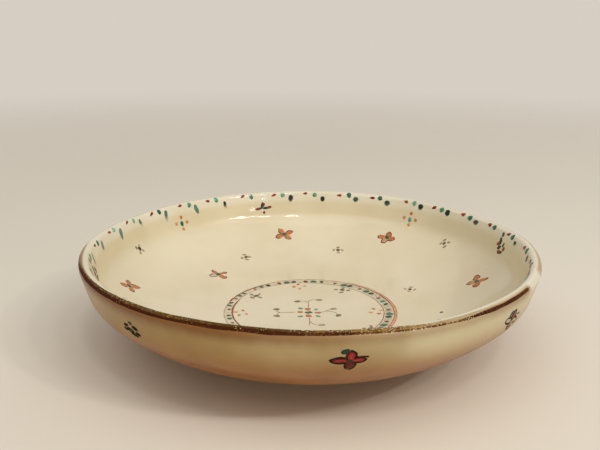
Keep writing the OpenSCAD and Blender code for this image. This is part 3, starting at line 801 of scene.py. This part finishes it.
stem_brown = enamel_finish("stem_brown", colour(172, 128, 92), colour(118, 72, 50), colour(140, 96, 68),
                           cover=0.9, soft=0.45)
middle_stems = start_strokes()
stem_lines = [((-0.3, 6.0), (0.4, 9.5), (-0.5, 13.0)), ((-0.5, 12.4), (0.2, 16.4), (4.2, 15.8)),
              ((-0.6, 12.6), (-2.0, 14.4), (-4.8, 13.6)), ((0.3, -6.4), (0.8, -11.0), (0.3, -16.2)),
              ((0.5, -10.0), (1.2, -14.8), (5.0, -15.2)), ((-6.2, 0.1), (-10.5, -1.0), (-14.6, -0.8)),
              ((-13.6, -0.8), (-15.6, -0.4), (-15.8, 2.0)), ((-13.6, -0.8), (-15.4, -1.6), (-15.2, -4.6)),
              ((6.0, -0.2), (8.0, 1.6), (11.4, 3.9)), ((8.2, 1.2), (13.0, 2.0), (14.2, -3.0))]
for start, bend, end in stem_lines:
    brush(middle_stems, drawn_line(middle, start, bend, end, stem_half), rise=0.00008, along=14,
          load=lambda s: 0.95 - 0.15 * s)
add_piece("middle_stems", middle_stems, stem_brown, "outline_brown", "centre_stems")

olive_bud = enamel_finish("olive_bud", colour(166, 156, 116), colour(118, 112, 76), colour(138, 130, 96),
                          coat=0.0, soft=0.6)
middle_buds = start_strokes()
for i, (x, y, lean) in enumerate([(5.2, 15.5, 0), (-5.8, 13.4, 10), (6.2, -15.2, 15), (-16.0, 2.9, 20),
                                  (-15.4, -5.3, 0), (12.2, 4.4, 20), (14.4, -3.9, 60)]):
    brush(middle_buds, middle.spot(x, y, lean, 3.7, 2.8).dab(i, point=0.1, taper=0.2), rise=0.0001,
          tint=chance(i, 3), load=lambda s, i=i: chance(i, 4, 0.7, 1.1))
add_piece("middle_buds", middle_buds, olive_bud, "grey_wash", "centre_buds")


# Flowers in the well
# Scattered four-petal flowers: watery orange leaf shapes about a dark green heart, drawn round here
# and there with a thin dark line that misses its petal.
def drawn_round(leaf, seed, first, last, half):
    """A thin line round a petal, between two directions from its tip, to its left or right in degrees."""
    def place(s, a):
        sweep = radians(first + (last - first) * (s + 1) / 2)
        lift = 1.03 + 0.22 * noise(Vector((2.6 * s, seed, 0)))
        edge = leaf.axis * (leaf.long / 2 * cos(sweep) * lift)
        edge += leaf.cross * (leaf.wide / 2 * sin(sweep) * abs(sin(sweep)) ** 0.3 * lift)
        return leaf.middle + edge * (1 + a * half * mm / max(edge.length, 0.0004)), leaf.normal
    return place


def petal(fills, lines, hub, seed, way, reach, wide, drawn, tint, wet, half, start):
    """One petal from near the hub out to its reach, in mm, with a line round part of its edge."""
    out = (start + reach) / 2
    leaf = hub.spot(out * cos(radians(way)), out * sin(radians(way)), way, reach - start, wide)
    brush(fills, leaf.dab(seed, point=0.1, taper=0.2), rise=0.00011, tint=tint, around=10, load=lambda s: wet)
    brush(lines, drawn_round(leaf, seed, *drawn, half), rise=0.00008, tint=chance(seed, 22, 0.4, 1), along=18,
          load=lambda s: chance(seed, 23, 0.7, 1.1) + 0.5 * noise(Vector((2.9 * s, seed, 4.4))))
    return leaf


# Each look has four petals: direction, reach, width, what is drawn round, depth of colour, and wetness.
slant_look = [(121, 5.0, 2.7, (-20, 140), 0.5, 1), (18, 5.8, 2.6, (-10, 140), 1.0, 1),
              (-156, 5.6, 2.8, (-110, 80), 0.6, 1), (-47, 5.0, 2.7, (-140, 40), 0.5, 1)]
flat_look = [(92, 4.8, 2.1, (-40, 90), 1.0, 1), (-10, 5.4, 1.8, (-80, 80), 1.0, 0.9),
             (172, 5.4, 2.6, (-140, 140), 0.2, 0.3), (-87, 5.8, 3.0, (-80, 80), 0.7, 1)]
leaning_look = [(130, 5.2, 2.7, (-50, 110), 0.7, 1), (23, 4.6, 2.8, (-60, 60), 0.8, 1),
                (-49, 6.2, 3.0, (-30, 130), 0.6, 1), (-138, 4.6, 2.9, (-80, 50), 0.7, 1)]
open_look = [(-175, 5.6, 2.7, (-70, 70), 0.6, 1), (81, 3.9, 2.7, (-170, 170), 1.2, 1),
             (-8, 4.9, 2.9, (-130, 80), 0.9, 1), (-106, 4.6, 3.0, (-140, 140), 0.1, 0.6)]
arched_look = [(157, 5.4, 3.1, (-120, 120), 0.7, 1), (50, 6.2, 2.7, (-50, 50), 0.7, 1),
               (-121, 5.2, 2.7, (-90, 90), 0.5, 0.9), (-26, 5.2, 3.0, (-110, 110), 0.8, 1)]
# In the order of the flowers round the plate, from the left by way of the front.
well_looks = [leaning_look, slant_look, arched_look, open_look, arched_look, open_look, slant_look, flat_look]

well_fills, well_lines, well_hearts = start_strokes(), start_strokes(), start_strokes()
for i, hub in enumerate(marks_of("well_flower_hearts")):
    for n, (way, reach, wide, drawn, tint, wet) in enumerate(well_looks[i]):
        petal(well_fills, well_lines, hub, 4 * i + n, way, reach, wide * 1.15, drawn, tint, wet,
              half=0.34, start=0.2)
    brush(well_hearts, hub.spot(0, 0, chance(i, 24, 0, 180), 3.1, 2.6).dab(i), rise=0.00025,
          tint=chance(i, 25, 0.7, 1.1))
dark_line = enamel_finish("dark_line", colour(124, 104, 72), colour(66, 52, 36), colour(104, 86, 62),
                          coat=0.0, soft=0.6)
add_piece("well_flower_petals", well_fills, orange_enamel, "orange_enamel", "well_flower_petals")
add_piece("well_flower_lines", well_lines, dark_line, "outline_brown", "well_flower_outlines")
add_piece("well_flower_middles", well_hearts, green_enamel, "green_enamel", "well_flower_hearts")


# Small sprigs in the well
# Between the flowers stand small sprigs: a dark heart with four soft grey touches slanting from it. The
# colour is thinner than in the flowers, so that the glaze shows through.
plain_dabs("well_sprig_middles", "well_sprig_hearts", outline_brown, "outline_brown", rise=0.00012,
           long=2.7, wide=2.2, load=0.8)
plain_dabs("well_sprig_touches", "well_sprig_dots", sprig_grey, "grey_wash", rise=0.00006,
           long=2.6, wide=1.7, load=0.8)


# Motifs on the inside wall
# High on the wall, dark flowers stand by turns with orange sprigs. The flowers are quick dark
# strokes crossed with red, and the sprigs are orange touches round a glassy green heart.
def bunches(marks, reach):
    """Marks that lie within reach of each other, as one middle each."""
    found = []
    for mark in marks:
        if found and (mark.middle - found[-1][0].middle).length < reach:
            found[-1].append(mark)
        else:
            found.append([mark])
    return [Mark(sum((m.middle for m in bunch), Vector()) / len(bunch), bunch[0].axis, 0, 0)
            for bunch in found]


# Each stroke: x and y of its middle, lean, length and width. Dark ones come first, red-brown ones after.
crossed_dark = [(0.0, 1.0, 75, 5.0, 2.1), (-1.7, -0.8, 10, 4.4, 1.7), (2.5, -0.6, 2, 5.6, 1.7)]
crossed_red = [(1.0, 1.4, 75, 2.8, 1.5), (-3.1, -1.0, 10, 2.6, 1.7), (4.3, -0.3, 8, 3.4, 1.7),
               (1.0, -3.3, 60, 2.0, 1.7)]
leafy_dark = [(-1.4, 2.4, 110, 4.2, 2.8), (2.2, 1.1, 65, 3.2, 1.8), (-0.9, -1.0, 35, 4.0, 2.2),
              (1.9, -2.9, 30, 3.0, 1.8), (-1.2, 5.8, 100, 3.0, 2.6)]
leafy_red = [(-2.6, 0.5, 30, 3.4, 2.4), (3.6, -0.7, 40, 2.8, 2.4), (-0.1, -3.2, 10, 3.2, 2.4)]
wall_darks, wall_reds = start_strokes(), start_strokes()
for i, hub in enumerate(bunches(marks_of("wall_flower_petals"), reach=0.012)):
    darks, reds = (crossed_dark, crossed_red) if i % 2 else (leafy_dark, leafy_red)
    for n, stroke in enumerate(darks):
        brush(wall_darks, hub.spot(*stroke).dab(4 * i + n, point=0.1), rise=0.0001,
              tint=chance(n, 31, 0.5, 1))
    for n, stroke in enumerate(reds):
        brush(wall_reds, hub.spot(*stroke).dab(4 * i + n, taper=0.3), rise=0.00012,
              tint=chance(n, 32, 0.2, 0.9))
wall_dark = enamel_finish("wall_dark", colour(104, 120, 98), colour(34, 50, 40), colour(88, 104, 84),
                          coat=0.0, cover=0.9, soft=0.9)
add_piece("wall_flower_strokes", wall_darks, wall_dark, "dark_enamel", "wall_flower_petals")
add_piece("wall_flower_lines", wall_reds, rust_enamel, "outline_brown", "wall_flower_outlines")

wall_hearts, wall_touches = start_strokes(), start_strokes()
for i, hub in enumerate(marks_of("wall_sprig_hearts")):
    brush(wall_hearts, hub.spot(0, 0, 100, 3.2, 2.4).dab(i), rise=0.0003, tint=chance(i, 33, 0.4, 0.9))
    for n, (x, y, deep) in enumerate([(0.2, 3.6, 0.9), (-3.8, 0.6, 0.3), (3.6, 0.3, 0.4), (0.1, -3.1, 0.3)]):
        brush(wall_touches, hub.spot(x, y, chance(4 * i + n, 34, 60, 120), 2.2, 2.0).dab(4 * i + n),
              rise=0.0001, tint=deep, load=lambda s: 0.8)
add_piece("wall_sprig_middles", wall_hearts, green_enamel, "green_enamel", "wall_sprig_hearts")
add_piece("wall_sprig_touches", wall_touches, orange_enamel, "orange_enamel", "wall_sprig_dots")


# Flowers on the outside
# Eight flowers in enamel stand round the outer wall. Most have long crimson petals to the left and right
# and a round one on top, drawn round in brown-black, with a dark green leaf. Some are dusky strokes, or
# little more than outlines.
crimson_enamel = enamel_finish("crimson_enamel", colour(184, 44, 32), colour(88, 22, 16), colour(78, 28, 18),
                               coat=0.05, soft=0.45, shine=0.2, tide=0.8)
black_line = enamel_finish("black_line", colour(88, 58, 34), colour(38, 24, 16), colour(80, 54, 32),
                           roughness=0.6, coat=0.0, soft=0.8, shine=0.08)
# Petals as in the well, in the order left, right, bottom and top.
red_look = [(178, 6.8, 2.5, (-165, 165), 0.9, 1), (3, 5.4, 2.2, (-165, 150), 0.6, 1),
            (-92, 3.9, 3.4, (-170, 178), 1.3, 1), (82, 4.3, 3.3, (-150, 165), 0.5, 1)]
empty_look = [(165, 5.8, 2.8, (-150, 150), 0.5, 0.1), (-15, 5.6, 2.6, (-120, 150), 0.5, 0.1),
              (-100, 4.2, 3.2, (-150, 100), 1.0, 0.3), (80, 4.6, 3.2, (-175, 175), 0.9, 1)]
# A dusky flower has no petals, only brown-black strokes laid side by side: x, y, lean, length and width.
dusky_look = [(-2.4, 1.8, 15, 3.4, 1.8), (-3.0, -0.2, 0, 3.2, 1.8), (-0.2, 0.0, -10, 4.6, 2.8),
              (1.6, -1.7, -12, 5.0, 1.9), (3.9, -0.6, -12, 3.4, 1.9), (2.9, 1.7, -15, 3.8, 2.2)]

out_fills, out_lines = start_strokes(), start_strokes()
out_hearts, out_leaves = start_strokes(), start_strokes()
leaf_spots = [(-1.9, 4.2, 25), (0.8, 3.5, -10), (-1.9, 4.2, 25), (-2.4, 3.9, 40)]
for i, hub in enumerate(marks_of("outside_flower_hearts")):
    dusky, empty = i % 4 == 1, i % 4 == 3
    if dusky:
        for n, stroke in enumerate(dusky_look):
            brush(out_lines, hub.spot(*stroke).dab(6 * i + n, point=0.1), rise=0.0001,
                  tint=chance(n, 36, 0.4, 1))
    else:
        for n, (way, reach, wide, drawn, tint, wet) in enumerate(empty_look if empty else red_look):
            leaf = petal(out_fills, out_lines, hub, 4 * i + n + 60, way, reach, wide, drawn, tint, wet,
                         half=0.62, start=0.0)
            core = Mark(leaf.middle, leaf.axis, 0.72 * leaf.long, 0.5 * leaf.wide, leaf.normal)
            brush(out_fills, core.dab(4 * i + n, point=0.15), rise=0.00016, tint=tint - 0.7,
                  load=lambda s: 0.9 * wet)
        brush(out_lines, hub.spot(4.8, 1.5, -6, 4.0, 1.0).dab(i, taper=0.4), rise=0.0001, tint=0.4,
              load=lambda s: 0.75)
    brush(out_hearts, hub.spot(0.2, 0.2, 0, 1.9, 1.3).dab(i), rise=0.0002, tint=0.9)
    x, y, lean = leaf_spots[i % 4]
    size = small_size if dusky else 1.0
    brush(out_leaves, hub.spot(x, y, lean, 3.4 * size, 2.3 * size).dab(i, point=0.1), rise=0.00022,
          tint=chance(i, 35, 0.9, 1.2))
add_piece("outside_flower_petals", out_fills, crimson_enamel, "crimson_enamel", "outside_flower_petals")
add_piece("outside_flower_lines", out_lines, black_line, "outline_brown", "outside_flower_outlines")
deep_green = enamel_finish("deep_green", colour(44, 108, 76), colour(16, 52, 38), colour(28, 62, 46),
                           roughness=0.2, coat=0.1, soft=0.25)
add_piece("outside_flower_middles", out_hearts, deep_green, "green_enamel", "outside_flower_hearts")
add_piece("outside_flower_greens", out_leaves, deep_green, "green_enamel", "outside_flower_leaves")


# Floor, light and camera
# A plain pale floor, a wide soft light overhead, a row of lamps and smaller ones to the front right that
# the gloss shows, and a camera at the photograph's place.
floor_radius, floor_gap = 2, 0.0002
floor_bm = bmesh.new()
bmesh.ops.create_circle(floor_bm, cap_ends=True, segments=96, radius=floor_radius)
for v in floor_bm.verts:
    v.co.z = -floor_gap
floor_mesh = bpy.data.meshes.new("floor")
floor_bm.to_mesh(floor_mesh)
floor_bm.free()
floor_finish, shader, recipe = new_finish("floor", roughness=0.9)
shader.inputs["Specular IOR Level"].default_value = 0.1
floor_tone = recipe.cloud(3.0, 2.0).mix(colour(238, 230, 215), colour(233, 225, 210))
feed(shader, "Base Color", floor_tone)
away = recipe.node("ShaderNodeVectorMath", {"operation": "LENGTH"}, {0: recipe.place()}, "Value")
feed(shader, "Alpha", 1 - away.ramp(0.25, 1.4))
floor_mesh.materials.append(floor_finish)
floor = bpy.data.objects.new("floor", floor_mesh)
bpy.context.scene.collection.objects.link(floor)

world = bpy.data.worlds.new("studio")
world.use_nodes = True
sky = world.node_tree.nodes["Background"]
sky.inputs["Strength"].default_value = 1.0
recipe = Tone(world.node_tree)
seen = sum(recipe.node("ShaderNodeLightPath", {}, {}, f"Is {ray} Ray")
           for ray in ("Camera", "Glossy", "Transmission"))
room_light = (0.39, 0.377, 0.36, 1)
feed(sky, "Color", seen.mix(room_light, colour(214, 206, 194)))
bpy.context.scene.world = world


def lamp(name, at, wide, deep, power, tint):
    """A rectangle of soft light, its long side level, turned towards the plate."""
    plate = Vector((0, 0, 0.03))
    light = bpy.data.lights.new(name, "AREA")
    light.shape = "RECTANGLE"
    light.size, light.size_y, light.energy, light.color = wide, deep, power, tint
    body = bpy.data.objects.new(name, light)
    body.location = at
    body.rotation_euler = (atan2(-at[1], at[2]), 0, 0) if wide > 1 else (
        (plate - Vector(at)).to_track_quat("-Z", "Y").to_euler())
    bpy.context.scene.collection.objects.link(body)


soft_white, warm_white = (1.0, 0.97, 0.93), (1.0, 0.96, 0.9)
lamp("overhead", (0.4, -0.8, 1.6), wide=3.2, deep=1.4, power=14.0, tint=soft_white)
for i, x in enumerate((0.35, 0.95, 1.5, 1.9)):
    lamp(f"front_{i}", (x, -1.3, 1.9), wide=0.26, deep=0.2, power=2.8, tint=soft_white)
for i, (at, wide, power) in enumerate([((0.7, -0.58, 0.7), 0.06, 1.3), ((0.56, -0.64, 0.78), 0.045, 0.6),
                                       ((0.18, -0.72, 0.89), 0.03, 0.3)]):
    lamp(f"spot_{i}", at, wide, deep=0.03, power=power, tint=warm_white)
for i, at in enumerate([(0.66, -0.85, 0.4), (0.54, -0.9, 0.39)]):
    lamp(f"glint_{i}", at, wide=0.012, deep=0.012, power=0.06, tint=warm_white)

photo_width, focal_pixels = 600, 700.6
yaw, pitch, roll = -0.0139, 0.2796, 0.0046
camera_at = (0, -0.31768, 0.14657)
ahead = Vector((sin(yaw) * cos(pitch), cos(yaw) * cos(pitch), -sin(pitch)))
right = Vector((cos(yaw), -sin(yaw), 0))
upward = right.cross(ahead)
right, upward = right * cos(roll) + upward * sin(roll), upward * cos(roll) - right * sin(roll)
lens = bpy.data.cameras.new("camera")
lens.sensor_fit, lens.sensor_width = "HORIZONTAL", 36
lens.lens = focal_pixels / photo_width * lens.sensor_width
lens.clip_start = 0.01
camera = bpy.data.objects.new("camera", lens)
facing = Matrix((right, upward, -ahead)).transposed().to_4x4()
camera.matrix_world = Matrix.Translation(camera_at) @ facing
bpy.context.scene.collection.objects.link(camera)
bpy.context.scene.camera = camera
bpy.context.scene.view_settings.view_transform = "Standard"
